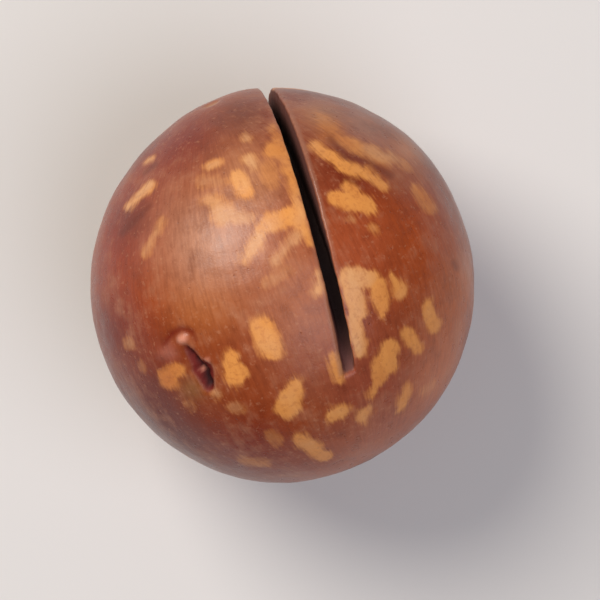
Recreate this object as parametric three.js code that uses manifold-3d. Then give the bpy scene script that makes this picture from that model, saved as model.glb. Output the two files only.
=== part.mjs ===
// A macadamia nut in its shell, sawn with the slit that a key levers open.
// The woody shell is one closed body, so the nut is one mesh.
// Millimetres, +Z up. The origin is the middle of the small flat spot that the nut rests on.
// The hilum, where the nut hung in its husk, faces -Y, and the slit crosses the top.

import * as THREE from "three";
import { mergeVertices } from "three/addons/utils/BufferGeometryUtils.js";
import Module from "manifold-3d";

// Driving dimensions.
const NUT_WIDTH = 26.4; // across X
const NUT_LENGTH = 27.2; // along Y, nearly from the hilum to the tip
const NUT_HEIGHT = 26.2; // from the flat spot to the top
const FLAT_SPOT_DIAMETER = 6.4; // the underside's natural flattening
const FACET_DETAIL = 14; // cuts along each edge of the icosahedron that the form starts from

// The seed's own form. Rises are shares of its radius, and spreads are degrees to where they fade.
const HILUM_TURN = 22; // degrees from -Y towards +X
const HILUM_DROP = 12; // degrees below the horizontal
const HILUM_RISE = -0.022; // the hilum is flattened
const HILUM_SPREAD = 34;
const TIP_RISE = 0.012; // the tip, opposite the hilum, is drawn out a little
const TIP_SPREAD = 26;
const SUTURE_RISE = 0.007; // a faint keel runs from hilum to tip
const SUTURE_SPREAD = 9;
const SUTURE_ROLL = 48; // degrees about the seed's axis, from the underside towards -X

// The saw cut. Its ends are degrees from the top of the nut, in the plane of the cut.
const KERF = 1.15; // the blade's thickness
const BLADE_RADIUS = 30;
const CUT_DEPTH = 3; // the shell's thickness
const CUT_OFFSET = 1.9; // from the nut's middle to the plane of the cut, towards +X
const CUT_TURN = 13.3; // degrees about Z, from the YZ plane
const CUT_LEAN = 6; // degrees from the vertical
const CUT_FRONT_END = 31; // towards -Y
const CUT_BACK_END = 108; // towards +Y

const degrees = THREE.MathUtils.degToRad;
const wasm = await Module();
wasm.setup();

// A closed geometry as a manifold-3d solid, with only its positions kept and shared ones merged.
function solidOf(geometry) {
  const bare = geometry.clone();
  bare.deleteAttribute("normal");
  bare.deleteAttribute("uv");
  const merged = mergeVertices(bare, 1e-4);
  return new wasm.Manifold(
    new wasm.Mesh({
      numProp: 3,
      vertProperties: merged.attributes.position.array,
      triVerts: new Uint32Array(merged.index.array),
    }),
  );
}

// A manifold-3d solid as a geometry with one normal per facet.
function geometryOf(solid) {
  const { vertProperties, triVerts, numProp } = solid.getMesh();
  const indexed = new THREE.BufferGeometry();
  indexed.setAttribute("position", new THREE.BufferAttribute(vertProperties, numProp));
  indexed.setIndex(new THREE.BufferAttribute(triVerts, 1));
  const faceted = indexed.toNonIndexed();
  faceted.computeVertexNormals();
  return faceted;
}

// The seed's axis, from the nut's middle to its hilum, and the way its suture faces.
function seedAxes() {
  const drop = degrees(HILUM_DROP);
  const turn = degrees(HILUM_TURN);
  const hilum = new THREE.Vector3(
    Math.cos(drop) * Math.sin(turn),
    -Math.cos(drop) * Math.cos(turn),
    -Math.sin(drop),
  );
  const suture = new THREE.Vector3(0, 0, -1).projectOnPlane(hilum).normalize();
  suture.applyAxisAngle(hilum, -degrees(SUTURE_ROLL));
  return { hilum, suture };
}

// A bell that is 1 where the angle is 0 and has faded out at the spread, given in degrees.
function bell(angle, spread) {
  return Math.exp(-3 * (angle / degrees(spread)) ** 2);
}

// The surface's distance from the middle of a nut of radius 1, in one direction.
function seedRadius(direction, { hilum, suture }) {
  const fromHilum = direction.angleTo(hilum);
  const acrossSuture = Math.asin(direction.dot(hilum.clone().cross(suture)));
  const onSutureSide = Math.max(0, direction.dot(suture)) * Math.sin(fromHilum);
  return (
    1 +
    HILUM_RISE * bell(fromHilum, HILUM_SPREAD) +
    TIP_RISE * bell(Math.PI - fromHilum, TIP_SPREAD) +
    SUTURE_RISE * onSutureSide * bell(acrossSuture, SUTURE_SPREAD)
  );
}

// How far the full round form would reach below the flat spot, from the ellipse of its section.
function reachBelowFlatSpot() {
  const meanRadius = (NUT_WIDTH + NUT_LENGTH) / 4;
  const share = 1 - Math.sqrt(1 - (FLAT_SPOT_DIAMETER / 2 / meanRadius) ** 2);
  return (NUT_HEIGHT * share) / (2 - share);
}

// The nut as it grew: the round form, sized and set so that z = 0 trims off its flat spot.
function nutForm() {
  const axes = seedAxes();
  const geometry = new THREE.IcosahedronGeometry(1, FACET_DETAIL);
  const places = geometry.getAttribute("position");
  const place = new THREE.Vector3();
  for (let i = 0; i < places.count; i++) {
    place.fromBufferAttribute(places, i).normalize();
    place.multiplyScalar(seedRadius(place, axes));
    places.setXYZ(i, ...place);
  }
  geometry.center();
  const size = geometry.boundingBox.getSize(new THREE.Vector3());
  const below = reachBelowFlatSpot();
  const height = NUT_HEIGHT + below;
  geometry.scale(NUT_WIDTH / size.x, NUT_LENGTH / size.y, height / size.z);
  geometry.translate(0, 0, height / 2 - below);
  return geometry;
}

// Everything under the flat spot.
function groundForm() {
  const side = 2 * Math.max(NUT_WIDTH, NUT_LENGTH);
  return new THREE.BoxGeometry(side, side, side).translate(0, 0, -side / 2);
}

// What the saw takes out as the nut rolls past the blade. Round the nut's middle, the blade's
// edge leaves a floor at the full depth, and its own round runs out to the surface at each end.
function sawCutForm() {
  const nutRadius = NUT_HEIGHT / 2;
  const floorRadius = nutRadius - CUT_DEPTH;
  const outerRadius = nutRadius + CUT_DEPTH;
  const hubRadius = floorRadius + BLADE_RADIUS;
  // The angle at one corner of the triangle with sides a, b and c, between a and b.
  const cornerAngle = (a, b, c) => Math.acos((a * a + b * b - c * c) / (2 * a * b));
  const runOut = cornerAngle(nutRadius, hubRadius, BLADE_RADIUS);
  const outside = cornerAngle(outerRadius, hubRadius, BLADE_RADIUS);
  const swing = cornerAngle(hubRadius, BLADE_RADIUS, outerRadius);
  const front = degrees(90 - CUT_FRONT_END) + runOut;
  const back = degrees(90 + CUT_BACK_END) - runOut;
  const hubAt = (angle) => [hubRadius * Math.cos(angle), hubRadius * Math.sin(angle)];

  const profile = new THREE.Shape();
  profile.absarc(...hubAt(front), BLADE_RADIUS, front + Math.PI + swing, front + Math.PI, true);
  profile.absarc(0, 0, floorRadius, front, back, false);
  profile.absarc(...hubAt(back), BLADE_RADIUS, back + Math.PI, back + Math.PI - swing, true);
  profile.absarc(0, 0, outerRadius, back + outside, front - outside, true);
  const cut = new THREE.ExtrudeGeometry(profile, {
    depth: KERF,
    bevelEnabled: false,
    curveSegments: 32,
  });
  cut.translate(0, 0, -CUT_OFFSET - KERF / 2);
  cut.rotateX(degrees(90 - CUT_LEAN));
  cut.rotateZ(degrees(CUT_TURN - 90));
  cut.translate(0, 0, NUT_HEIGHT / 2);
  return cut;
}

const roastedShell = new THREE.MeshStandardMaterial({
  color: "#96502d",
  roughness: 0.42,
  metalness: 0,
});

const nutSolid = solidOf(nutForm()).subtract(solidOf(groundForm())).subtract(solidOf(sawCutForm()));
const nut = new THREE.Mesh(geometryOf(nutSolid), roastedShell);
nut.name = "nut_in_shell";

const part = new THREE.Group();
part.add(nut);
export default part;
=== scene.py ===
"""A macadamia nut in its shell, sawn with the slit that a key levers open, alone on a pale floor."""

import bpy
import numpy as np
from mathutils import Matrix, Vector


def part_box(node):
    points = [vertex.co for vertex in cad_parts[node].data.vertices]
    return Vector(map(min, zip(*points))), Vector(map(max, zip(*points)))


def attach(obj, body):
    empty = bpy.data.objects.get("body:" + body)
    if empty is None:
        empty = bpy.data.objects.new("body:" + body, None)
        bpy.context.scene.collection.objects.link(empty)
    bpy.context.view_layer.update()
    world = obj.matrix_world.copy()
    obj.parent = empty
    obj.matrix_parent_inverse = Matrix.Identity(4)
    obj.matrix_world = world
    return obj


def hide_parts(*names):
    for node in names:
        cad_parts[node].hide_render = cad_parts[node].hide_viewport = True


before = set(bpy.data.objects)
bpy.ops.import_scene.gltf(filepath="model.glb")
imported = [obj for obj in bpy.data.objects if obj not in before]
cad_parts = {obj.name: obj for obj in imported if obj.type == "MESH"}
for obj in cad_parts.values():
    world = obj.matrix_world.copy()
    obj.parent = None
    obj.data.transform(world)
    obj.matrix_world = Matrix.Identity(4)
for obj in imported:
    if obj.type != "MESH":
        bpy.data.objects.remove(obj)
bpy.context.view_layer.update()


# --- The seed -------------------------------------------------------------------------------------
# A macadamia's shell is one woody seed coat, nearly round and too hard for a nutcracker. It hung in its
# husk at the hilum, low on the -Y side, which is flattened. The tip opposite is drawn out a little, and a
# faint keel, the suture, runs from one to the other.

MM = 0.001
FLAT_SPOT = 6.4  # millimetres across, the underside's natural flattening

HILUM_TURN = np.radians(22)  # from -Y towards +X
HILUM_DROP = np.radians(12)  # below the horizontal
SUTURE_ROLL = np.radians(48)  # about the seed's axis, from the underside towards -X

# Rises are shares of the seed's radius, and spreads are the angles where they have faded out.
HILUM_RISE, HILUM_SPREAD = -0.022, np.radians(34)
TIP_RISE, TIP_SPREAD = 0.012, np.radians(26)
SUTURE_RISE, SUTURE_SPREAD = 0.007, np.radians(9)


def unit(vectors):
    """Each vector over its own length."""
    return vectors / np.linalg.norm(vectors, axis=-1, keepdims=True)


def bell(distance, spread):
    """1 at no distance, fading as the exponential of minus three times the squared share of the spread."""
    return np.exp(-3 * (distance / spread) ** 2)


hilum = np.array([
    np.cos(HILUM_DROP) * np.sin(HILUM_TURN),
    -np.cos(HILUM_DROP) * np.cos(HILUM_TURN),
    -np.sin(HILUM_DROP),
])
underside = np.array([0.0, 0.0, -1.0])
underside = unit(underside - (underside @ hilum) * hilum)
suture = np.cos(SUTURE_ROLL) * underside - np.sin(SUTURE_ROLL) * np.cross(hilum, underside)


def seed_form(direction):
    """The seed at a radius of 1 along each direction, plus the hilum's, tip's and suture's bells."""
    from_hilum = np.arccos(np.clip(direction @ hilum, -1, 1))
    across_suture = np.arcsin(np.clip(direction @ np.cross(hilum, suture), -1, 1))
    on_suture_side = np.maximum(direction @ suture, 0) * np.sin(from_hilum)
    radius = (
        1
        + HILUM_RISE * bell(from_hilum, HILUM_SPREAD)
        + TIP_RISE * bell(np.pi - from_hilum, TIP_SPREAD)
        + SUTURE_RISE * on_suture_side * bell(across_suture, SUTURE_SPREAD)
    )
    return direction * radius[..., None]


# The form is stretched to the CAD solid's box. Under the flat spot the full round would reach lower by
# the height of the cap that the spot cuts off.
lowest, highest = (np.array(corner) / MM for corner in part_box("nut_in_shell"))
nut_size = highest - lowest
cap_share = 1 - np.sqrt(1 - (2 * FLAT_SPOT / (nut_size[0] + nut_size[1])) ** 2)
cap_height = nut_size[2] * cap_share / (2 - cap_share)
form_size = nut_size + [0, 0, cap_height]
form_middle = np.array([0, 0, form_size[2] / 2 - cap_height])
nut_radius = form_size.mean() / 2

# The unit form's own extents, found from points spread evenly over it along a golden spiral.
TRIAL_POINTS = 40000
GOLDEN_TURN = np.pi * (3 - np.sqrt(5))
trial_height = np.linspace(-1, 1, TRIAL_POINTS)
trial_turn = GOLDEN_TURN * np.arange(TRIAL_POINTS)
trial_ring = np.sqrt(1 - trial_height**2)
trial_form = seed_form(
    np.stack([trial_ring * np.cos(trial_turn), trial_ring * np.sin(trial_turn), trial_height], axis=-1)
)
trial_low, trial_high = trial_form.min(axis=0), trial_form.max(axis=0)


def smooth_shell(direction):
    """The seed's outside in millimetres, before any relief: the unit form, stretched to the nut's size."""
    share = (seed_form(direction) - (trial_low + trial_high) / 2) / (trial_high - trial_low)
    return form_middle + share * form_size


# --- The saw cut ----------------------------------------------------------------------------------
# The grower's mill rolls the nut past a thin round blade, which leaves a slit as deep as the shell is
# thick. The blade's own round runs the slit out to the surface at each end. The nut turned a little as it
# rolled, so the slit is twisted: the right wall shows towards the back, and the left wall towards the front.
# Its lips are worn a little round, and each is broken back where its wall shows.

KERF_AT_FRONT, KERF, KERF_AT_BACK = 0.86, 1.0, 0.95  # the slit narrows towards its ends
CUT_DEPTH = 3.0
BLADE_RADIUS = 30.0
CUT_OFFSET = 1.9  # from the nut's middle to the plane of the cut, towards +X
CUT_TURN = np.radians(13.3)
CUT_LEAN = np.radians(6)

# Angles round the cut's axis, from the level of -Y, with the top at 90: the slit's ends, where its front
# part has passed into the middle, and where its back part starts and is full.
CUT_FRONT_END, CUT_BACK_END = np.radians(59), np.radians(198)
FRONT_PAST = np.radians(130)
BACK_START, BACK_FULL = np.radians(120), np.radians(175)

LIP_ROUND = 0.1
BROKEN_LIP = 0.12
LIP_WAVES, LIP_NICKS = (1.7, 0.012), (0.6, 0.0072)  # wavelength and height of the lips' wandering
BACK_TWIST, FRONT_TWIST = -0.09, 0.2  # how far across the slit its depth drifts, for each millimetre down

# The share of its width that the slit loses on the way down, where it is shallow and where it is deep.
SHALLOW_CUT, DEEP_CUT = 0.2, 1.5
SHALLOW_LOSS, DEEP_LOSS = 0.5, 0.04

cut_normal = np.array([
    np.cos(CUT_LEAN) * np.cos(CUT_TURN),
    np.cos(CUT_LEAN) * np.sin(CUT_TURN),
    -np.sin(CUT_LEAN),
])
cut_front = unit(np.cross(cut_normal, [0, 0, 1]))
cut_up = np.cross(cut_front, cut_normal)
cut_middle = np.array([0, 0, nut_size[2] / 2])

floor_radius = nut_size[2] / 2 - CUT_DEPTH
hub_radius = floor_radius + BLADE_RADIUS
run_out = np.arccos(
    ((nut_size[2] / 2) ** 2 + hub_radius**2 - BLADE_RADIUS**2) / (nut_size[2] * hub_radius)
)
cut_centre_angle = (CUT_FRONT_END + CUT_BACK_END) / 2
level_half_angle = (CUT_BACK_END - CUT_FRONT_END) / 2 - run_out


def ease(low, high, value):
    """0 below low and 1 above high, along the smooth cubic 3t^2 - 2t^3 between them."""
    share = np.clip((value - low) / (high - low), 0, 1)
    return share * share * (3 - 2 * share)


RIPPLE_WAVES = 48


def ripples(points, wavelength, height, seed):
    """Smooth noise: the height times the sum of cosine waves of one length, over the square root of half
    their number, crossing in seeded random directions."""
    draw = np.random.default_rng(seed)
    headings = unit(draw.normal(size=(RIPPLE_WAVES, 3))) * (2 * np.pi / wavelength)
    phases = draw.uniform(0, 2 * np.pi, RIPPLE_WAVES)
    return height * (np.cos(points @ headings.T + phases).sum(axis=-1) / np.sqrt(RIPPLE_WAVES / 2))


def cut_floor(angle):
    """How far from the middle the blade's edge passes, at an angle round the cut: the floor's radius where
    the nut rolled, and past that the near side of the blade's circle, cos times the hub's radius less the
    root of the blade's radius squared less sin times the hub's radius squared."""
    swing = np.abs(angle - cut_centre_angle) - level_half_angle
    swing = np.clip(swing, 0, np.arcsin(BLADE_RADIUS / hub_radius))
    half_chord = np.sqrt(np.maximum(BLADE_RADIUS**2 - (hub_radius * np.sin(swing)) ** 2, 0))
    return hub_radius * np.cos(swing) - half_chord


# The shell is a grid of rings round the cut's axis, from a pole at -X to one at +X. Rings down one wall
# of the slit, over its floor and up the other have these shares of the lip's turn, of the wall's depth
# and of the half floor.
COLUMNS = 432
RINGS_BEFORE_CUT = 106
RINGS_AFTER_CUT = 88
LIP_RINGS, WALL_RINGS, FLOOR_RINGS = 5, 8, 4

half_slit = np.concatenate([
    [(turned, 0, 1) for turned in np.linspace(0, 1, LIP_RINGS)],
    [(1, sunk, 1) for sunk in np.linspace(0, 1, WALL_RINGS + 1)[1:]],
    [(1, 1, out) for out in np.linspace(1, 0, FLOOR_RINGS + 1)[1:]],
])
slit_rings = np.concatenate([half_slit, half_slit[-2::-1]])
slit_side = np.sign(np.arange(len(slit_rings)) - (len(half_slit) - 1))[:, None]
lip_turned, wall_sunk, floor_out = slit_rings.T[..., None]

angle = cut_centre_angle + np.linspace(-np.pi, np.pi, COLUMNS, endpoint=False)
outline = np.cos(angle)[:, None] * cut_front + np.sin(angle)[:, None] * cut_up
towards_front = 1 - ease(CUT_FRONT_END, FRONT_PAST, angle)
towards_back = ease(BACK_START, BACK_FULL, angle)

RING_CORRECTIONS = 4
FLAT_RINGS, ROUND_RINGS = 0.5, 0.85  # shares of the radius where the rings are as flat as the saw, and not


def ring_direction(offset):
    """The directions of rings at these offsets from the nut's middle along the cut's axis. The latitude
    starts from the offset's arcsine and is corrected by what the form's own point misses, so that rings
    near the slit are as flat as the saw. The correction fades towards the poles."""
    latitude = np.arcsin(np.clip(offset / nut_radius, -1, 1))
    flatness = 1 - ease(FLAT_RINGS, ROUND_RINGS, np.abs(offset) / nut_radius)
    for _ in range(RING_CORRECTIONS):
        direction = np.cos(latitude)[..., None] * outline + np.sin(latitude)[..., None] * cut_normal
        missed = offset - (smooth_shell(direction) - cut_middle) @ cut_normal
        latitude = latitude + flatness * missed / (nut_radius * np.cos(latitude))
    return np.cos(latitude)[..., None] * outline + np.sin(latitude)[..., None] * cut_normal


half_kerf = (KERF + (KERF_AT_FRONT - KERF) * towards_front + (KERF_AT_BACK - KERF) * towards_back) / 2
narrowing = SHALLOW_LOSS - (SHALLOW_LOSS - DEEP_LOSS) * ease(
    SHALLOW_CUT, DEEP_CUT, nut_radius - cut_floor(angle)
)
half_width = half_kerf * (1 - narrowing * wall_sunk) * floor_out
lip_breaks = np.where(slit_side < 0, towards_front, 1 - towards_front)
lip = LIP_ROUND + BROKEN_LIP * lip_breaks
lip_wobble = (
    ripples(outline * nut_radius, *LIP_WAVES, seed=3) + ripples(outline * nut_radius, *LIP_NICKS, seed=4)
)
lip_shift = np.where(slit_side < 0, lip_wobble, np.roll(lip_wobble, COLUMNS // 3))  # the lips differ
slit_offset = CUT_OFFSET + slit_side * (half_width + lip * (1 - np.sin(lip_turned * np.pi / 2)) + lip_shift)


def pole_rings(edge, count, side):
    """Offsets of the rings between a pole and the slit's edge, evenly spaced in latitude."""
    edge_latitude = np.arcsin(edge / nut_radius)
    share = np.arange(1, count + 1)[:, None] / (count + 1)
    return nut_radius * np.sin(side * np.pi / 2 * (1 - share) + edge_latitude * share)


offsets = np.concatenate([
    pole_rings(slit_offset[0], RINGS_BEFORE_CUT, -1),
    slit_offset,
    pole_rings(slit_offset[-1], RINGS_AFTER_CUT, 1)[::-1],
])
direction = ring_direction(offsets)
in_slit = slice(RINGS_BEFORE_CUT, RINGS_BEFORE_CUT + len(slit_rings))
poles = np.stack([-cut_normal, cut_normal])
direction = np.concatenate([poles[:1], direction.reshape(-1, 3), poles[1:]])


# --- The shell's relief ---------------------------------------------------------------------------
# A macadamia's shell is smooth to the finger but never a true ball: it has broad flats, low dents a few
# millimetres across, and a fine leathery unevenness. This one also has an old insect scar on its top, a
# pit with a small blister beside it.

# Wavelength and height, in millimetres.
BROAD_LUMPS = (9.0, 0.03)
LOW_DENTS = (3.6, 0.016)
FINE_DIMPLES = (1.4, 0.004)

# The hilum is a shallow dish with a ragged scar of broken fibres in it and a low ring round it, and the
# pore at the tip is a small hollow. A band runs from full to none, in shares of the radius.
HILUM_RADIUS = 3.4
HILUM_WAVES, HILUM_FRAYS = (3.6, 0.35), (1.2, 0.12)
DISH_BAND, DISH_DEPTH, DISH_GRAIN = (0.5, 1.1), 0.08, (1.3, 0.012)
SCAR_BAND = (0.75, 1.0)
RING_PLACE, RING_SPREAD, RING_RISE = 1.1, 0.9, 0.02
PORE_RADIUS = 0.8
PORE_BAND, PORE_DEPTH = (0.3, 1.0), 0.18

# The insect scar's strokes seen from above, in millimetres: each runs from one x, y to another x, y, and
# has a width at each end. Heights count for half in a stroke's width, so that one near the nut's outline
# is neither drawn out down its side nor lost from above. Its slope runs from none to full, in
# millimetres inside the stroke.
DRAWN_HEIGHT = 0.5
PIT_NECK = (-6.5, -4.2, -5.6, -5.5, 0.4, 0.9)
PIT_BODY = (-5.4, -5.7, -4.95, -6.85, 1.5, 0.75)
PIT_SLOPE, PIT_DEPTH, PIT_WANDER = (-0.2, 0.44), 0.4, (1.6, 0.04)
PIT_RIM_PLACE, PIT_RIM_SPREAD, PIT_RIM_RISE = -0.25, 0.4, 0.02
PIT_CORES = [
    (-6.3, -4.3, -5.6, -5.5, 0.15, 0.3),
    (-5.45, -5.7, -4.95, -6.75, 0.5, 0.55),
]
CORE_SLOPE, CORE_DEPTH, CORE_WANDER = (-0.18, 0.16), 0.3, (0.6, 0.04)
BLISTER = (-6.75, -3.62, -6.65, -3.6, 0.8, 0.8)
BLISTER_SLOPE, BLISTER_RISE = (-0.1, 0.36), 0.17
MOAT = [
    (-8.0, -4.0, -7.5, -3.3, 0.2, 0.45),
    (-7.5, -3.3, -6.8, -2.95, 0.45, 0.5),
    (-6.8, -2.95, -6.1, -3.15, 0.5, 0.4),
    (-6.1, -3.15, -5.85, -3.7, 0.4, 0.2),
]
MOAT_SLOPE, MOAT_DEPTH = (-0.2, 0.25), 0.09
RIDGE = (-7.2, -4.25, -8.2, -4.8, 0.6, 0.4)
RIDGE_SLOPE, RIDGE_RISE = (-0.25, 0.3), 0.07
GLINTS = [
    (-5.05, -5.0, -4.95, -5.1, 0.36, 0.3),
    (-5.6, -5.8, -5.5, -5.9, 0.28, 0.26),
]
GLINT_SLOPE, GLINT_RISE = (-0.1, 0.16), 0.13

OUTSIDE = -1.0  # stands for any place a millimetre or more outside a stroke
WAIST_FADE = 2.0  # millimetres above and below the nut's waist, over which the upper side's marks fade

shell_point = smooth_shell(direction)
drawn_place = shell_point * [1, 1, DRAWN_HEIGHT]


def inside_stroke(points, start, end, widths):
    """How far inside a tapered stroke each point lies: half of its width, which goes evenly from one end
    to the other, less the distance to its middle line."""
    run = end - start
    share = np.clip((points - start) @ run / (run @ run), 0, 1)
    from_middle = np.linalg.norm(points - start - share[:, None] * run, axis=1)
    return (widths[0] + (widths[1] - widths[0]) * share) / 2 - from_middle


def drawn_end(x, y):
    """A stroke's end on the upper shell, at the height of the ellipsoid of the nut's size: the root of one
    less the squared shares of x and y."""
    shares = 2 * np.array([x, y]) / form_size[:2]
    height = form_middle[2] + form_size[2] / 2 * np.sqrt(max(1 - shares @ shares, 0))
    return np.array([x, y, height * DRAWN_HEIGHT])


def within(*strokes):
    """How far each vertex lies inside the stroke that holds it best, of strokes given by x, y, x, y,
    width, width."""
    return np.max(
        [
            inside_stroke(drawn_place, drawn_end(*stroke[:2]), drawn_end(*stroke[2:4]), stroke[4:6])
            for stroke in strokes
        ],
        axis=0,
    )


on_top = ease(-WAIST_FADE, WAIST_FADE, shell_point[:, 2] - form_middle[2])
from_hilum = np.arccos(np.clip(direction @ hilum, -1, 1)) * nut_radius
from_tip = np.pi * nut_radius - from_hilum

in_pit = within(PIT_NECK, PIT_BODY) + ripples(shell_point, *PIT_WANDER, seed=11)
in_pit = np.where(on_top > 0, in_pit, OUTSIDE)
in_core = within(*PIT_CORES) + ripples(shell_point, *CORE_WANDER, seed=13)
pit = ease(*PIT_SLOPE, in_pit)
pit_core = on_top * ease(*CORE_SLOPE, in_core)
pit_rim = on_top * bell(in_pit - PIT_RIM_PLACE, PIT_RIM_SPREAD)
blister = on_top * ease(*BLISTER_SLOPE, within(BLISTER))
moat = on_top * ease(*MOAT_SLOPE, within(*MOAT))
ridge = on_top * ease(*RIDGE_SLOPE, within(RIDGE))
glint = on_top * ease(*GLINT_SLOPE, within(*GLINTS))

from_ragged_hilum = (
    from_hilum
    + ripples(shell_point, *HILUM_WAVES, seed=12)
    + ripples(shell_point, *HILUM_FRAYS, seed=14)
)
hilum_dish = 1 - ease(*DISH_BAND, from_hilum / HILUM_RADIUS)
hilum_scar = 1 - ease(*SCAR_BAND, from_ragged_hilum / HILUM_RADIUS)
hilum_ring = bell(from_ragged_hilum - RING_PLACE * HILUM_RADIUS, RING_SPREAD)
pore = 1 - ease(*PORE_BAND, from_tip / PORE_RADIUS)

relief = (
    ripples(shell_point, *BROAD_LUMPS, seed=5)
    + ripples(shell_point, *LOW_DENTS, seed=6)
    + ripples(shell_point, *FINE_DIMPLES, seed=7)
    - PIT_DEPTH * pit
    - CORE_DEPTH * pit_core * pit
    + PIT_RIM_RISE * pit_rim
    + BLISTER_RISE * blister
    - MOAT_DEPTH * moat
    + RIDGE_RISE * ridge
    + GLINT_RISE * glint
    - hilum_dish * (DISH_DEPTH + ripples(shell_point, *DISH_GRAIN, seed=8))
    + RING_RISE * hilum_ring
    - PORE_DEPTH * pore
)
shell_point = shell_point + relief[:, None] * direction

# The slit's rings sink towards the middle of the cut, and drift across it with the twist.
grid_point = shell_point[1:-1].reshape(len(offsets), COLUMNS, 3)
slit_point = grid_point[in_slit]
inward = cut_middle - slit_point
inward = inward - (inward @ cut_normal)[..., None] * cut_normal
reach = np.linalg.norm(inward, axis=-1)
full_depth = np.maximum(reach - cut_floor(angle), 0)
lip_depth = np.minimum(lip, full_depth / 2)
sunk = lip_depth * (1 - np.cos(lip_turned * np.pi / 2)) + (full_depth - lip_depth) * wall_sunk
twist = sunk * (BACK_TWIST + (FRONT_TWIST - BACK_TWIST) * towards_front)
grid_point[in_slit] = slit_point + inward / reach[..., None] * sunk[..., None] + twist[..., None] * cut_normal

# The flat spot eases off the round: heights follow half of z plus the root of z squared plus the
# softening squared, and the lowest is then set on the ground.
GROUND_SOFTENING = 0.22
GROUND_SPREAD = 3.0
height = shell_point[:, 2]
height = (height + np.hypot(height, GROUND_SOFTENING)) / 2
shell_point[:, 2] = height - height.min() * bell(height, GROUND_SPREAD)

# Where the relief stands proud of the CAD solid's box, the skin is drawn in to it.
shell_point[:, :2] /= np.maximum(2 * np.abs(shell_point[:, :2]).max(axis=0) / nut_size[:2], 1)
shell_point[:, 2] /= max(shell_point[:, 2].max() / nut_size[2], 1)


# --- The shell's mesh -----------------------------------------------------------------------------
# One closed skin: a fan at each pole and a grid of four-sided faces between them, all facing outwards.
# The angle round the cut runs clockwise as seen from +X, so each face takes its rings before its columns.

ring_starts = 1 + COLUMNS * np.arange(len(offsets) - 1)[:, None]
column = np.arange(COLUMNS)
next_column = np.roll(column, -1)
quads = np.stack(
    [
        ring_starts + column,
        ring_starts + COLUMNS + column,
        ring_starts + COLUMNS + next_column,
        ring_starts + next_column,
    ],
    axis=-1,
).reshape(-1, 4)
last_ring = 1 + COLUMNS * (len(offsets) - 1)
last_pole = len(shell_point) - 1
first_fan = np.stack([0 * column, 1 + column, 1 + next_column], axis=-1)
last_fan = np.stack([0 * column + last_pole, last_ring + next_column, last_ring + column], axis=-1)

mesh = bpy.data.meshes.new("macadamia_shell")
mesh.from_pydata((shell_point * MM).tolist(), [], first_fan.tolist() + quads.tolist() + last_fan.tolist())
mesh.shade_smooth()
nut = bpy.data.objects.new("macadamia_shell", mesh)
bpy.context.scene.collection.objects.link(nut)
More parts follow.
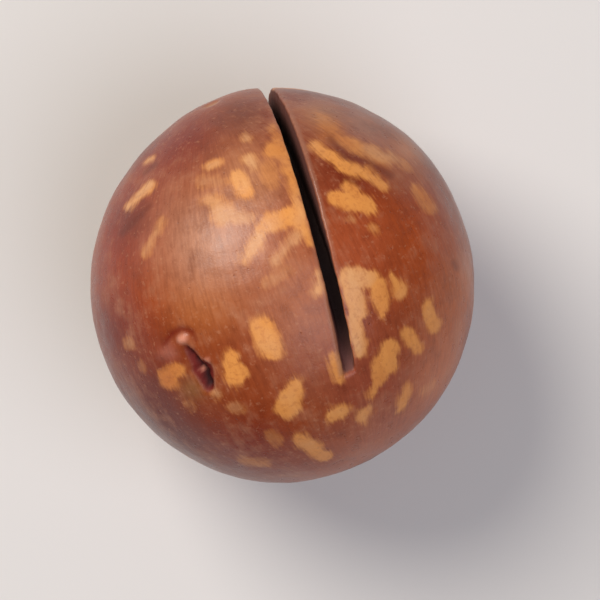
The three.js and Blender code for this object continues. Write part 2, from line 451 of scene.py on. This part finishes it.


# --- The shell's flecks ---------------------------------------------------------------------------
# Where the seed coat's fibres come near the surface they show as tan flecks, drawn out along the
# meridians that run from the hilum to the tip. Those of the upper side are listed one by one, and those
# below the nut's waist by a seeded draw.

# Each fleck seen from above, in millimetres: it runs from one x, y to another x, y, with a width at each
# end, a tone (1 cream, 0 tan, -1 russet) and a strength.
TOP_FLECKS_AND_GLINTS = [
    # over the front, towards the hilum
    (-1.35, -2.9, -0.75, -4.3, 1.7, 1.5, 0.3, 1.0),
    (0.8, -6.8, 0.4, -8.2, 1.2, 1.6, 0.1, 1.0),
    (3.4, -8.7, 3.9, -8.6, 0.95, 1.1, 0.25, 1.0),
    (5.8, -8.4, 5.3, -8.9, 0.6, 0.8, 0.1, 0.85),
    (7.3, -4.2, 6.9, -5.4, 1.2, 1.6, 0.25, 1.0),
    (6.8, -5.6, 6.1, -7.5, 1.3, 0.6, -0.2, 0.9),
    (8.35, -7.2, 8.0, -8.4, 0.75, 0.65, 0.1, 0.85),
    (8.5, -3.3, 9.1, -4.2, 0.9, 0.6, 0.1, 0.95),
    (9.85, -1.4, 10.3, -2.8, 0.7, 0.85, 0.0, 0.95),
    (7.5, 0.6, 8.0, -0.4, 0.7, 0.75, 0.1, 0.95),
    (1.3, -10.5, 2.9, -11.6, 1.2, 1.0, 0.2, 0.9),
    (-0.6, -10.2, -0.4, -10.5, 0.8, 0.6, 0.3, 0.35),
    (-2.4, -11.9, -1.2, -12.0, 0.7, 0.6, 0.0, 0.4),
    (9.7, -7.1, 10.2, -6.8, 0.4, 0.4, 0.9, 0.35),
    # beside the scar
    (-3.4, -4.9, -3.2, -6.0, 1.1, 1.7, -0.1, 1.0),
    (-4.4, -7.2, -4.35, -7.3, 0.35, 0.35, 1.0, 0.5),
    (-7.0, -5.7, -7.7, -6.3, 0.9, 1.3, -0.4, 0.85),
    (-6.25, -8.1, -6.1, -8.3, 0.45, 0.45, 1.0, 0.45),
    (-3.2, -8.2, -3.05, -8.3, 0.5, 0.5, 1.0, 0.35),
    (-9.7, -5.4, -9.5, -5.6, 0.3, 0.3, 1.0, 0.3),
    (-10.5, -3.95, -10.4, -4.1, 0.4, 0.4, 1.0, 0.35),
    # along the slit
    (2.5, 0.9, 2.4, -0.4, 0.5, 0.6, 0.6, 0.9),
    (3.4, -4.8, 3.9, -6.4, 0.5, 0.6, 0.1, 0.9),
    (4.6, 0.5, 6.1, 0.4, 1.3, 1.2, 0.5, 1.0),
    (4.5, 0.4, 5.1, -2.0, 1.4, 1.2, 0.8, 1.0),
    (4.9, -2.0, 5.25, -4.6, 1.1, 0.6, 0.8, 1.0),
    (6.5, 0.0, 6.75, -1.9, 1.2, 0.7, 0.0, 1.0),
    (-0.7, 10.6, 0.4, 8.6, 0.6, 1.0, 0.0, 0.5),
    (0.2, 8.8, 1.0, 6.3, 0.9, 0.7, 0.4, 0.75),
    (-0.6, 9.2, 0.1, 8.9, 1.0, 1.0, 0.2, 0.7),
    (-1.1, 7.9, -0.7, 7.0, 0.9, 0.8, 0.1, 0.35),
    (-2.9, 7.2, -2.5, 6.4, 1.2, 1.0, 0.5, 1.0),
    (-2.2, 8.5, -1.9, 8.0, 0.8, 0.6, 0.8, 0.8),
    (0.9, 5.9, 1.3, 4.3, 0.5, 0.9, 0.4, 0.8),
    (-0.6, 4.3, 1.1, 4.9, 1.0, 1.3, 0.1, 1.0),
    (1.2, 4.4, 1.8, 2.8, 1.0, 0.5, 0.2, 0.9),
    (-1.5, 3.7, -0.4, 4.3, 0.9, 1.1, 0.5, 0.8),
    # The next two cream flecks lie in the soft lamp's reflection and are partly a painted highlight.
    (-4.9, 5.7, -3.9, 4.7, 0.9, 1.5, 0.9, 0.65),
    (-3.9, 4.7, -2.3, 4.5, 1.4, 0.8, 0.9, 0.5),
    (-1.5, 3.3, -2.6, 1.5, 0.9, 0.4, 0.9, 0.75),
    (1.0, 3.3, 0.9, 3.0, 0.8, 0.6, 1.0, 0.7),
    (0.9, 3.2, -0.5, 1.5, 0.7, 0.5, 0.9, 0.5),
    (0.2, 0.9, -1.0, 0.1, 0.5, 0.4, 0.8, 0.2),
    # over the back, towards the tip
    (3.6, 5.9, 5.8, 5.4, 0.9, 1.3, -0.1, 1.0),
    (4.3, 6.8, 4.9, 5.9, 0.6, 0.9, -0.1, 1.0),
    (2.2, 9.5, 3.2, 8.8, 0.6, 0.7, 0.2, 0.9),
    (3.2, 8.8, 4.0, 8.0, 0.7, 0.7, 0.1, 1.0),
    (3.9, 8.0, 5.5, 7.6, 0.8, 0.8, 0.2, 1.0),
    (5.5, 7.6, 6.9, 6.7, 0.9, 0.4, 0.2, 0.9),
    (2.6, 11.4, 3.3, 10.7, 0.6, 0.8, 0.2, 0.3),
    (3.8, 10.0, 5.0, 9.3, 0.7, 0.9, -0.2, 0.65),
    (5.0, 9.3, 7.2, 8.6, 0.9, 1.0, 0.5, 0.65),
    (7.3, 8.6, 8.6, 8.0, 0.6, 0.5, 0.3, 0.4),
    (9.1, 6.5, 10.0, 5.5, 0.7, 1.0, -0.4, 0.7),
    (6.1, 3.9, 6.2, 3.8, 0.3, 0.3, 0.6, 0.6),
    (4.7, 4.5, 4.8, 4.4, 0.3, 0.2, 0.6, 0.4),
    # over the left, towards the tip
    (-9.4, 2.0, -8.5, 3.6, 0.15, 0.3, 0.8, 0.55),
    (-8.5, 3.6, -8.1, 4.5, 0.35, 0.15, 0.9, 0.55),
    # The next four flecks stand for small glints: painted highlights.
    (-10.5, 5.3, -9.0, 6.8, 0.45, 0.6, 1.0, 0.9),
    (-4.9, 8.1, -4.4, 8.3, 0.4, 0.4, 1.0, 0.8),
    (-2.45, 10.2, -2.4, 9.9, 0.4, 0.4, 0.9, 0.6),
    (-9.25, 8.45, -8.9, 8.65, 0.4, 0.35, 1.0, 0.8),
    (-5.4, 7.0, -4.2, 7.0, 0.5, 0.4, 0.9, 0.25),
]

# Dark marks, given in the same way up to their widths: lines in the flecks of the back, the neck of the
# scar's pit, and a few bruises.
DARK_MARKS = [
    (3.2, 9.9, 4.2, 8.7, 0.5, 0.3),
    (4.2, 8.7, 5.9, 8.3, 0.3, 0.35),
    (5.9, 8.3, 7.3, 7.4, 0.35, 0.6),
    (4.0, 7.2, 5.0, 6.9, 0.3, 0.3),
    (-9.4, 7.7, -8.7, 8.2, 0.4, 0.6),
    (-9.9, 4.5, -9.0, 5.4, 0.5, 0.3),
    (-10.9, 3.6, -9.9, 4.5, 0.6, 0.5),
    (11.65, 1.5, 11.8, 1.2, 0.5, 0.5),
    (-6.6, -4.3, -6.0, -5.6, 0.5, 0.3),
]

# The drawn flecks: millimetres at the middle of the draw, and the spreads of the draws about it.
UNDER_FLECKS, UNDER_SEED = 150, 21
UNDER_LENGTH, LENGTH_SPREAD = 1.3, 0.4
UNDER_WIDTH, WIDTH_SPREAD = 0.9, 0.3
SKEW_SPREAD = 0.25  # across the meridian, for each unit along it
UNDER_TONES, UNDER_STRENGTHS = (-0.8, 0.4), (0.3, 1.0)
TOP_VIEW_EDGE = 0.05  # directions higher than this share of the radius are seen from above
SHORTEST_MERIDIAN = 0.3  # keeps the draw off the hilum and the tip, where the meridians meet
OPAQUE_DEPTH = 6  # how sharply the deepest fleck wins where two overlap

fleck_reach = np.full(len(shell_point), OUTSIDE)
tone_sum = np.zeros(len(shell_point))
strength_sum = np.zeros(len(shell_point))
weight_sum = np.zeros(len(shell_point))


def lay_fleck(inside, tone, strength):
    """Adds one fleck, from how far inside it each vertex lies: the flecks' reach is the largest of these,
    and tone and strength are means that the deepest fleck leads."""
    inside = np.maximum(inside, OUTSIDE)
    np.maximum(fleck_reach, inside, out=fleck_reach)
    weight = np.exp(OPAQUE_DEPTH * inside)
    weight_sum[:] += weight
    tone_sum[:] += weight * tone
    strength_sum[:] += weight * strength


faces_up = direction[:, 2] > 0
for *stroke, top_tone, top_strength in TOP_FLECKS_AND_GLINTS:
    lay_fleck(np.where(faces_up, within(stroke), OUTSIDE), top_tone, top_strength)
mark_reach = np.where(faces_up, within(*DARK_MARKS), OUTSIDE)

draw = np.random.default_rng(UNDER_SEED)
placed = 0
while placed < UNDER_FLECKS:
    centre = unit(draw.normal(size=3))
    meridian = hilum - (hilum @ centre) * centre
    if centre[2] > TOP_VIEW_EDGE or np.linalg.norm(meridian) < SHORTEST_MERIDIAN:
        continue
    placed += 1
    skewed = unit(meridian) + SKEW_SPREAD * draw.normal() * np.cross(centre, unit(meridian))
    half_run = unit(skewed) * UNDER_LENGTH / 2 * np.exp(LENGTH_SPREAD * draw.normal())
    widths = UNDER_WIDTH * np.exp(WIDTH_SPREAD * draw.normal(size=2))
    start, end = centre * nut_radius - half_run, centre * nut_radius + half_run
    under_tone, under_strength = draw.uniform(*UNDER_TONES), draw.uniform(*UNDER_STRENGTHS)
    lay_fleck(inside_stroke(direction * nut_radius, start, end, widths), under_tone, under_strength)


def colour(code):
    """An sRGB hex code as linear red, green, blue and alpha: each share to the power that sRGB gives it."""
    shares = np.array([int(code[i : i + 2], 16) / 255 for i in (1, 3, 5)])
    linear = np.where(shares <= 0.04045, shares / 12.92, ((shares + 0.055) / 1.055) ** 2.4)
    return (*linear, 1.0)


# The seed coat's brown under the flecks: dark and warm browns in broad drifts, and washes laid over
# them, each seen from above: x, y and radius in millimetres, and its colour. A few washes are partly
# painted light: the dark ones at the left rim, over the top left, at the top by the slit and at the lower
# left are partly painted shade, and the pale one at -5.1, 3.0 is partly a painted highlight.
DARK_SHELL, BROWN_SHELL, WARM_SHELL = (
    np.array(colour(code)[:3]) for code in ("#6B2410", "#8F4020", "#A4501F")
)
BROWN_DRIFT = (11.0, 0.5)  # wavelength in millimetres, and share of the way to the dark or warm brown
WASHES_AND_PAINTED_LIGHT = [
    # The next three washes are partly painted shade along the left rim and over the top left.
    (-10.5, 3.2, 4.2, "#822204"),
    (-10.3, 4.6, 1.6, "#661602"),
    (-6.5, 9.6, 4.2, "#741A02"),
    (-7.5, 5.4, 1.3, "#86391C"),
    # The next wash is painted shade over the coat's dark red, at the top by the slit.
    (-2.6, 11.6, 2.4, "#6C2A0C"),
    (-9.3, -1.5, 3.6, "#923404"),
    (-5.2, -1.2, 3.0, "#A55720"),
    (-11.6, -3.4, 2.8, "#722006"),
    # The next wash is partly a painted highlight, where the soft lamp's reflection lies.
    (-5.1, 3.0, 3.8, "#B67E60"),
    (-2.2, 7.0, 3.0, "#AC704C"),
    (0.6, 0.6, 3.0, "#A66444"),
    (1.2, -2.6, 3.0, "#A2603F"),
    (1.4, -5.6, 2.6, "#945034"),
    (9.2, 3.4, 4.5, "#A04312"),
    (5.4, 3.0, 2.4, "#A04A26"),
    (7.6, 7.4, 1.2, "#944A26"),
    (12.4, 0.0, 2.6, "#B0571F"),
    (10.4, -6.4, 3.2, "#B3623A"),
    (6.8, -11.0, 3.2, "#A2583A"),
    (-2.5, -10.8, 4.2, "#7C2404"),
    # The next wash is partly painted shade at the lower left rim.
    (-8.2, -8.8, 4.0, "#601404"),
    (5.6, 10.9, 2.0, "#A06850"),
    (8.6, 9.2, 1.5, "#B46C42"),
    (2.6, 11.6, 1.4, "#A86C44"),
    (3.2, 10.2, 0.9, "#A85E28"),
    (-4.4, -6.4, 2.8, "#8A3E1A"),
    (6.0, -6.6, 2.6, "#96462A"),
    (-6.1, -7.0, 0.9, "#86522C"),
    (-7.7, -4.5, 0.6, "#A8604C"),
]
brown_drift = np.clip(ripples(direction * nut_radius, *BROWN_DRIFT, seed=31), -1, 1)[:, None]
coat_and_painted_light_colour = (
    BROWN_SHELL
    + np.maximum(brown_drift, 0) * (WARM_SHELL - BROWN_SHELL)
    + np.maximum(-brown_drift, 0) * (DARK_SHELL - BROWN_SHELL)
)
for x, y, radius, code in WASHES_AND_PAINTED_LIGHT:
    from_wash = np.linalg.norm(drawn_place - drawn_end(x, y), axis=1)
    amount = (on_top * np.exp(-((from_wash / radius) ** 2)))[:, None]
    coat_and_painted_light_colour = coat_and_painted_light_colour * (1 - amount) + np.array(colour(code)[:3]) * amount

# A fibre's own coordinates: round the seed's axis in true millimetres, and along it drawn out, so that
# noise read there makes streaks that follow the meridians.
STREAK_STRETCH = 7
NO_AXIS = 1e-9  # keeps the direction round the axis from being nothing at the axis itself
round_axis = unit(direction - (direction @ hilum)[:, None] * hilum + NO_AXIS)
fibre = round_axis * nut_radius + hilum * (from_hilum / STREAK_STRETCH)[:, None]

# The pale wood bared along the slit's lips: a little all along, and more where a lip is broken back,
# except towards the back, where it has darkened. It fades with depth, and where the slit runs out.
LIP_BARED, BREAK_BARED, BACK_DARKENED = 0.1, 0.4, 0.7
BARED_DEPTH = 0.5
RUN_OUT_BARE, RUN_OUT_FULL = 0.05, 0.4

cut_depth = np.zeros(grid_point.shape[:2])
cut_depth[in_slit] = sunk
slit_lip = np.zeros(grid_point.shape[:2])
lip_bared = LIP_BARED + BREAK_BARED * lip_breaks * (1 - BACK_DARKENED * towards_back)
slit_lip[in_slit] = lip_bared * bell(sunk, BARED_DEPTH) * ease(RUN_OUT_BARE, RUN_OUT_FULL, full_depth)

# Each is stored for every vertex of the shell, for its material to read. The poles lie far from the slit.
# The glints in the pit are painted pale pink like the blister: a painted highlight on their raised tops.
GLINT_HIGHLIGHT_SHARE = 0.6  # beside the blister's 1
for name, values in {
    "fleck": fleck_reach,
    "fleck_tone": tone_sum / weight_sum,
    "fleck_strength": strength_sum / weight_sum,
    "mark": mark_reach,
    "cut_depth": np.pad(cut_depth.ravel(), 1),
    "slit_lip": np.pad(slit_lip.ravel(), 1),
    "pit": in_pit,
    "pit_core": np.maximum(pit_core - glint, 0),
    "moat": np.maximum(moat - glint, 0),
    "blister": np.maximum(blister, GLINT_HIGHLIGHT_SHARE * glint),
    "hilum": hilum_scar,
    "hilum_ring": hilum_ring,
    "pore": pore,
}.items():
    layer = mesh.attributes.new(name, "FLOAT", "POINT")
    layer.data.foreach_set("value", values.astype(np.float32))
for name, vectors in {"coat_and_painted_light": coat_and_painted_light_colour, "fibre": fibre * MM}.items():
    layer = mesh.attributes.new(name, "FLOAT_VECTOR", "POINT")
    layer.data.foreach_set("vector", vectors.astype(np.float32).ravel())


# --- The shell's finish ---------------------------------------------------------------------------
# Dry macadamia shell, tumbled until it is satin smooth: a hard brown seed coat with tan flecks, darker
# pinholes a tenth of a millimetre across, and a soft gloss that breaks up over its fine unevenness. Inside
# the slit the sawn wood is dull, and painted darker the deeper it goes: painted shade.

SHELL_IOR = 1.5
SHELL_SPECULAR = 0.32  # the coat is dry wood, not lacquer, so it mirrors less than its IOR gives

PALE_FILM = colour("#B9805F")
DARK_BROWN = colour("#561A0A")
RUSSET_FLECK = colour("#BC6A30")
TAN_FLECK = colour("#DA9148")
CREAM_FLECK = colour("#D8A574")
FRESH_CUT = colour("#946A56")
CUT_WALL = colour("#6A4038")
# The slit's depths are painted near black: painted shade.
SLIT_SHADE_DARK = colour("#2A140E")
# The scar's dark red is partly its own colour and partly painted shade in its hollow and in the dip round the
# blister, and the pit's black core is painted shade where it is deepest.
SCAR_AND_SHADE_RED = colour("#681204")
PIT_SHADE_BLACK = colour("#2A0305")
# The blister's pale pink, also laid on the pit's glints, is a painted highlight on their raised tops.
BLISTER_HIGHLIGHT_PINK = colour("#D08A70")
HILUM_BROWN = colour("#B67A56")
PORE_CREAM = colour("#A8785A")

# The mix node's sockets by place: a factor, two colours, and the result in colour.
FACTOR, FIRST, SECOND, RESULT = 0, 6, 7, 2


def add(tree, kind, inputs, **settings):
    """A new node of this kind: its settings, then each input set to a value or linked to an output."""
    node = tree.nodes.new(kind)
    for name, value in settings.items():
        setattr(node, name, value)
    for name, value in inputs.items():
        if isinstance(value, bpy.types.NodeSocket):
            tree.links.new(value, node.inputs[name])
        else:
            node.inputs[name].default_value = value
    return node


shell = bpy.data.materials.new("tumbled_macadamia_shell")
shell.use_nodes = True
tree = shell.node_tree
tree.nodes.clear()

object_place = add(tree, "ShaderNodeTexCoord", {}).outputs["Object"]
read = {
    name: add(tree, "ShaderNodeAttribute", {}, attribute_name=name).outputs["Fac"]
    for name in (
        "fleck", "fleck_tone", "fleck_strength", "mark", "cut_depth", "slit_lip", "pit", "pit_core", "moat",
        "blister", "hilum", "hilum_ring", "pore",
    )
}
fibre_place = add(tree, "ShaderNodeAttribute", {}, attribute_name="fibre").outputs["Vector"]
coat_and_painted_light = add(tree, "ShaderNodeAttribute", {}, attribute_name="coat_and_painted_light").outputs["Color"]

# Patterns, each with its real size in millimetres, its detail and its roughness.
cloud, sway, mottle, stipple, grit, streak, fine_fibre = (
    add(
        tree,
        "ShaderNodeTexNoise",
        {"Vector": where, "Scale": 1 / (size * MM), "Detail": detail, "Roughness": roughness},
    ).outputs["Fac"]
    for where, size, detail, roughness in (
        (object_place, 3.2, 2, 0.5),
        (object_place, 1.5, 1, 0.5),
        (object_place, 0.9, 5, 0.6),
        (object_place, 0.34, 2, 0.6),
        (object_place, 0.16, 3, 0.7),
        (fibre_place, 0.35, 4, 0.6),
        (fibre_place, 0.2, 2, 0.6),
    )
)

# The brown of the seed coat: clouds and streaks beside the mottling darken it, and leave a pale waxy film
# where they thin. Fine fibres darken it too, and pale stipples dot it.
CLOUD_SHARE, STREAK_SHARE = 1.2, 0.5
clouded = add(
    tree, "ShaderNodeMath", {0: cloud, 1: CLOUD_SHARE, 2: mottle}, operation="MULTIPLY_ADD"
).outputs[0]
streaked = add(
    tree, "ShaderNodeMath", {0: streak, 1: STREAK_SHARE, 2: clouded}, operation="MULTIPLY_ADD"
).outputs[0]
darkened = add(
    tree, "ShaderNodeMapRange", {"Value": streaked, "From Min": 1.32, "From Max": 0.85, "To Max": 0.45}
).outputs[0]
filmed = add(
    tree, "ShaderNodeMapRange", {"Value": streaked, "From Min": 1.36, "From Max": 1.9, "To Max": 0.5}
).outputs[0]
fibred = add(
    tree, "ShaderNodeMapRange", {"Value": fine_fibre, "From Min": 0.56, "From Max": 0.38, "To Max": 0.17}
).outputs[0]
stippled = add(
    tree, "ShaderNodeMapRange", {"Value": stipple, "From Min": 0.6, "From Max": 0.72, "To Max": 0.3}
).outputs[0]

# Pinholes: the middle of some of the cells, dark and a little sunken.
PINHOLE_CELL = 0.75  # millimetres
PINHOLE_FREE = 0.62  # share of the cells that have none
PINHOLE_SHADE = 0.28
pinhole_cells = add(
    tree, "ShaderNodeTexVoronoi", {"Vector": object_place, "Scale": 1 / (PINHOLE_CELL * MM)}
)
cell_pick = add(
    tree, "ShaderNodeSeparateColor", {"Color": pinhole_cells.outputs["Color"]}
).outputs["Red"]
picked = add(
    tree, "ShaderNodeMath", {0: cell_pick, 1: PINHOLE_FREE}, operation="GREATER_THAN"
).outputs[0]
pinhole_round = add(
    tree,
    "ShaderNodeMapRange",
    {"Value": pinhole_cells.outputs["Distance"], "From Min": 0.14, "From Max": 0.05},
    interpolation_type="SMOOTHSTEP",
).outputs[0]
pinholes = add(tree, "ShaderNodeMath", {0: picked, 1: pinhole_round}, operation="MULTIPLY").outputs[0]
pinhole_shade = add(
    tree, "ShaderNodeMath", {0: pinholes, 1: PINHOLE_SHADE}, operation="MULTIPLY"
).outputs[0]

# Flecks and dark marks are ragged: their edges fray with the streaks, crumble with the mottling and
# feather with the fibres, and those of the flecks sway too. Each pattern's middle is 0.5, so half of
# its amount in millimetres is taken off again. The weak flecks are also soft.
FRAY, CRUMBLE, FEATHER = 0.3, 0.36, 0.5
SWAY, FLECK_SPREAD = 1.0, 0.05
ragged = -(FRAY + CRUMBLE + FEATHER) / 2
for pattern, width in ((streak, FRAY), (mottle, CRUMBLE), (fine_fibre, FEATHER)):
    ragged = add(
        tree, "ShaderNodeMath", {0: pattern, 1: width, 2: ragged}, operation="MULTIPLY_ADD"
    ).outputs[0]
inside_fleck = add(
    tree, "ShaderNodeMath", {0: sway, 1: SWAY, 2: FLECK_SPREAD - SWAY / 2}, operation="MULTIPLY_ADD"
).outputs[0]
for offset in (read["fleck"], ragged):
    inside_fleck = add(tree, "ShaderNodeMath", {0: inside_fleck, 1: offset}, operation="ADD").outputs[0]
softness = add(
    tree,
    "ShaderNodeMapRange",
    {"Value": read["fleck_strength"], "From Min": 0.4, "From Max": 1.0, "To Min": 0.5, "To Max": 0.17},
).outputs[0]
outer_edge = add(tree, "ShaderNodeMath", {0: softness, 1: -1.0}, operation="MULTIPLY").outputs[0]
fleck_cover = add(
    tree, "ShaderNodeMapRange", {"Value": inside_fleck, "From Min": outer_edge, "From Max": softness},
    interpolation_type="SMOOTHSTEP",
).outputs[0]
fleck_amount = add(
    tree, "ShaderNodeMapRange", {"Value": stipple, "From Min": 0.32, "From Max": 0.5, "To Min": 0.75}
).outputs[0]
for share in (read["fleck_strength"], fleck_cover):
    fleck_amount = add(tree, "ShaderNodeMath", {0: fleck_amount, 1: share}, operation="MULTIPLY").outputs[0]

marked = add(tree, "ShaderNodeMath", {0: read["mark"], 1: ragged}, operation="ADD").outputs[0]
mark_cover = add(
    tree, "ShaderNodeMapRange", {"Value": marked, "From Min": -0.25, "From Max": 0.3, "To Max": 0.5},
    interpolation_type="SMOOTHSTEP",
).outputs[0]

# A fleck's tone shifts with the clouds, from russet through tan to cream, and its streaks are russet.
CLOUD_TONE = 1.6
tone_shift = add(
    tree, "ShaderNodeMath", {0: cloud, 1: CLOUD_TONE, 2: -CLOUD_TONE / 2}, operation="MULTIPLY_ADD"
).outputs[0]
tone = add(tree, "ShaderNodeMath", {0: read["fleck_tone"], 1: tone_shift}, operation="ADD").outputs[0]
to_tan = add(tree, "ShaderNodeMapRange", {"Value": tone, "From Min": -0.9, "From Max": 0.0}).outputs[0]
to_cream = add(tree, "ShaderNodeMapRange", {"Value": tone, "From Min": 0.1, "From Max": 1.0}).outputs[0]
grain = add(
    tree, "ShaderNodeMapRange", {"Value": streak, "From Min": 0.65, "From Max": 0.35, "To Max": 0.2}
).outputs[0]
fleck_colour = RUSSET_FLECK
for cover, layer in ((to_tan, TAN_FLECK), (to_cream, CREAM_FLECK), (grain, RUSSET_FLECK)):
    fleck_colour = add(
        tree, "ShaderNodeMix", {FACTOR: cover, FIRST: fleck_colour, SECOND: layer}, data_type="RGBA"
    ).outputs[RESULT]

# The hilum, a pale scar of broken fibres in a dark ring.
RING_SHADE = 0.3
ring_shade = add(
    tree, "ShaderNodeMath", {0: read["hilum_ring"], 1: RING_SHADE}, operation="MULTIPLY"
).outputs[0]
broken_fibres = add(
    tree,
    "ShaderNodeMapRange",
    {"Value": streak, "From Min": 0.4, "From Max": 0.6, "To Min": 0.05, "To Max": 0.85},
).outputs[0]
hilum_cover = add(
    tree, "ShaderNodeMath", {0: read["hilum"], 1: broken_fibres}, operation="MULTIPLY"
).outputs[0]

# The insect's pit, whose edge is gritty, and the shadowed dip round its blister. The pit's dark red is
# partly the scar's own colour and partly painted shade in its hollow, and the dip's is painted shade.
PIT_GRIT = 0.16
MOAT_SHADE = 0.75
gritty_pit = add(
    tree, "ShaderNodeMath", {0: grit, 1: PIT_GRIT, 2: read["pit"]}, operation="MULTIPLY_ADD"
).outputs[0]
pit_cover = add(
    tree, "ShaderNodeMapRange", {"Value": gritty_pit, "From Min": -0.04, "From Max": 0.24},
    interpolation_type="SMOOTHSTEP",
).outputs[0]
moat_shade = add(
    tree, "ShaderNodeMath", {0: read["moat"], 1: MOAT_SHADE}, operation="MULTIPLY"
).outputs[0]
scar_and_shade_cover = add(tree, "ShaderNodeMath", {0: pit_cover, 1: moat_shade}, operation="MAXIMUM").outputs[0]

# The slit: its wall starts under the fresh, pale lip, and deeper down is painted dark: painted shade in the
# narrow cut.
WALL_STREAK = 0.3
streaked_depth = add(
    tree, "ShaderNodeMath", {0: streak, 1: WALL_STREAK, 2: read["cut_depth"]}, operation="MULTIPLY_ADD"
).outputs[0]
on_wall, painted_slit_shade = (
    add(
        tree, "ShaderNodeMapRange", {"Value": streaked_depth, "From Min": start, "From Max": full},
        interpolation_type="SMOOTHSTEP",
    ).outputs[0]
    for start, full in ((0.2, 0.45), (0.8, 2.6))
)

# The layers over the coat's brown, from the lowest to the topmost.
for cover, layer in (
    (darkened, DARK_BROWN),
    (filmed, PALE_FILM),
    (fibred, DARK_BROWN),
    (stippled, PALE_FILM),
    (pinhole_shade, DARK_BROWN),
    (fleck_amount, fleck_colour),
    (mark_cover, DARK_BROWN),
    (ring_shade, DARK_BROWN),
    (hilum_cover, HILUM_BROWN),
    (read["pore"], PORE_CREAM),
    # The scar's red, partly painted shade, and its core's painted shade.
    (scar_and_shade_cover, SCAR_AND_SHADE_RED),
    (read["pit_core"], PIT_SHADE_BLACK),
    # The painted highlight on the blister and the glints.
    (read["blister"], BLISTER_HIGHLIGHT_PINK),
    (read["slit_lip"], FRESH_CUT),
    (on_wall, CUT_WALL),
    # The last layer is painted shade deep in the slit.
    (painted_slit_shade, SLIT_SHADE_DARK),
):
    coat_and_painted_light = add(
        tree, "ShaderNodeMix", {FACTOR: cover, FIRST: coat_and_painted_light, SECOND: layer}, data_type="RGBA"
    ).outputs[RESULT]

# Gloss: satin on the tumbled coat, a little duller on flecks, and dull where the wood is bare.
FLECK_DULLING, BARE_DULLING = 0.06, 0.4
dullness = add(
    tree,
    "ShaderNodeMapRange",
    {"Value": mottle, "From Min": 0.3, "From Max": 0.7, "To Min": 0.26, "To Max": 0.36},
).outputs[0]
bare = on_wall
for bared in (read["hilum"], pit_cover):
    bare = add(tree, "ShaderNodeMath", {0: bare, 1: bared}, operation="MAXIMUM").outputs[0]
for cover, dulling in ((fleck_amount, FLECK_DULLING), (bare, BARE_DULLING)):
    dullness = add(
        tree, "ShaderNodeMath", {0: cover, 1: dulling, 2: dullness}, operation="MULTIPLY_ADD"
    ).outputs[0]

# Fine unevenness, too small for the mesh: the mottling's low swells, grit and pinholes.
GRIT_RISE, PINHOLE_RISE = 0.4, -0.5  # beside the swells' 1
UNEVENNESS = 0.03  # millimetres
uneven = mottle
for pattern, rise in ((grit, GRIT_RISE), (pinholes, PINHOLE_RISE)):
    uneven = add(
        tree, "ShaderNodeMath", {0: pattern, 1: rise, 2: uneven}, operation="MULTIPLY_ADD"
    ).outputs[0]
bump = add(
    tree, "ShaderNodeBump", {"Strength": 1.0, "Distance": UNEVENNESS * MM, "Height": uneven}
).outputs["Normal"]

finish = add(
    tree,
    "ShaderNodeBsdfPrincipled",
    {
        "Base Color": coat_and_painted_light,
        "Roughness": dullness,
        "Normal": bump,
        "IOR": SHELL_IOR,
        "Specular IOR Level": SHELL_SPECULAR,
    },
)
add(tree, "ShaderNodeOutputMaterial", {"Surface": finish.outputs["BSDF"]})
mesh.materials.append(shell)

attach(nut, "root")
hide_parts("nut_in_shell")


# --- The floor, the light and the camera ----------------------------------------------------------
# The nut stands alone on a pale matt surface under a large soft lamp from the upper left, with a weaker
# one from the lower right, and is seen from straight above.

FLOOR_SIDE = 4.0
floor_mesh = bpy.data.meshes.new("floor")
floor_corners = [(x * FLOOR_SIDE / 2, y * FLOOR_SIDE / 2, 0) for x, y in ((-1, -1), (1, -1), (1, 1), (-1, 1))]
floor_mesh.from_pydata(floor_corners, [], [(0, 1, 2, 3)])
floor = bpy.data.objects.new("floor", floor_mesh)
bpy.context.scene.collection.objects.link(floor)
card = bpy.data.materials.new("matt_white_card")
card.use_nodes = True
card_finish = card.node_tree.nodes["Principled BSDF"]
card_finish.inputs["Base Color"].default_value = colour("#D2D0CD")
card_finish.inputs["Roughness"].default_value = 0.9
floor_mesh.materials.append(card)


def aim(thing, position, target):
    """Puts a lamp or a camera at a position, looking at the target, with +Y upwards where it looks down."""
    thing.location = position
    view = Vector(target) - Vector(position)
    thing.rotation_euler = view.to_track_quat("-Z", "Y").to_euler()


LAMP_DISTANCE = 0.45
nut_centre = np.array([0, 0, form_middle[2]]) * MM
for name, towards, width, watts, tint in (
    ("soft_lamp", (-0.486, 0.449, 0.748), 0.28, 2.0, "#FFF8F0"),
    ("fill_lamp", (0.40, -0.32, 0.86), 0.42, 1.1, "#F4F2FF"),
):
    lamp_data = bpy.data.lights.new(name, "AREA")
    lamp_data.shape = "DISK"
    lamp_data.size = width
    lamp_data.energy = watts
    lamp_data.color = colour(tint)[:3]
    lamp = bpy.data.objects.new(name, lamp_data)
    bpy.context.scene.collection.objects.link(lamp)
    lamp.visible_camera = False
    aim(lamp, nut_centre + unit(np.array(towards)) * LAMP_DISTANCE, nut_centre)

world = bpy.data.worlds.new("pale_room")
world.use_nodes = True
background = world.node_tree.nodes["Background"]
background.inputs["Color"].default_value = colour("#F2F2F2")
background.inputs["Strength"].default_value = 0.2
bpy.context.scene.world = world
bpy.context.scene.view_settings.view_transform = "Standard"

CAMERA_HEIGHT = 0.5
NUT_SHARE = 0.64  # of the picture's width
VIEW_MIDDLE = np.array([0.0012, -0.0010, 0])  # beside the nut's own
camera_data = bpy.data.cameras.new("camera")
view_width = nut_size[0] * MM / NUT_SHARE
camera_data.lens = camera_data.sensor_width * CAMERA_HEIGHT / view_width
camera = bpy.data.objects.new("camera", camera_data)
bpy.context.scene.collection.objects.link(camera)
aim(camera, nut_centre + VIEW_MIDDLE + [0, 0, CAMERA_HEIGHT], nut_centre + VIEW_MIDDLE)
bpy.context.scene.camera = camera
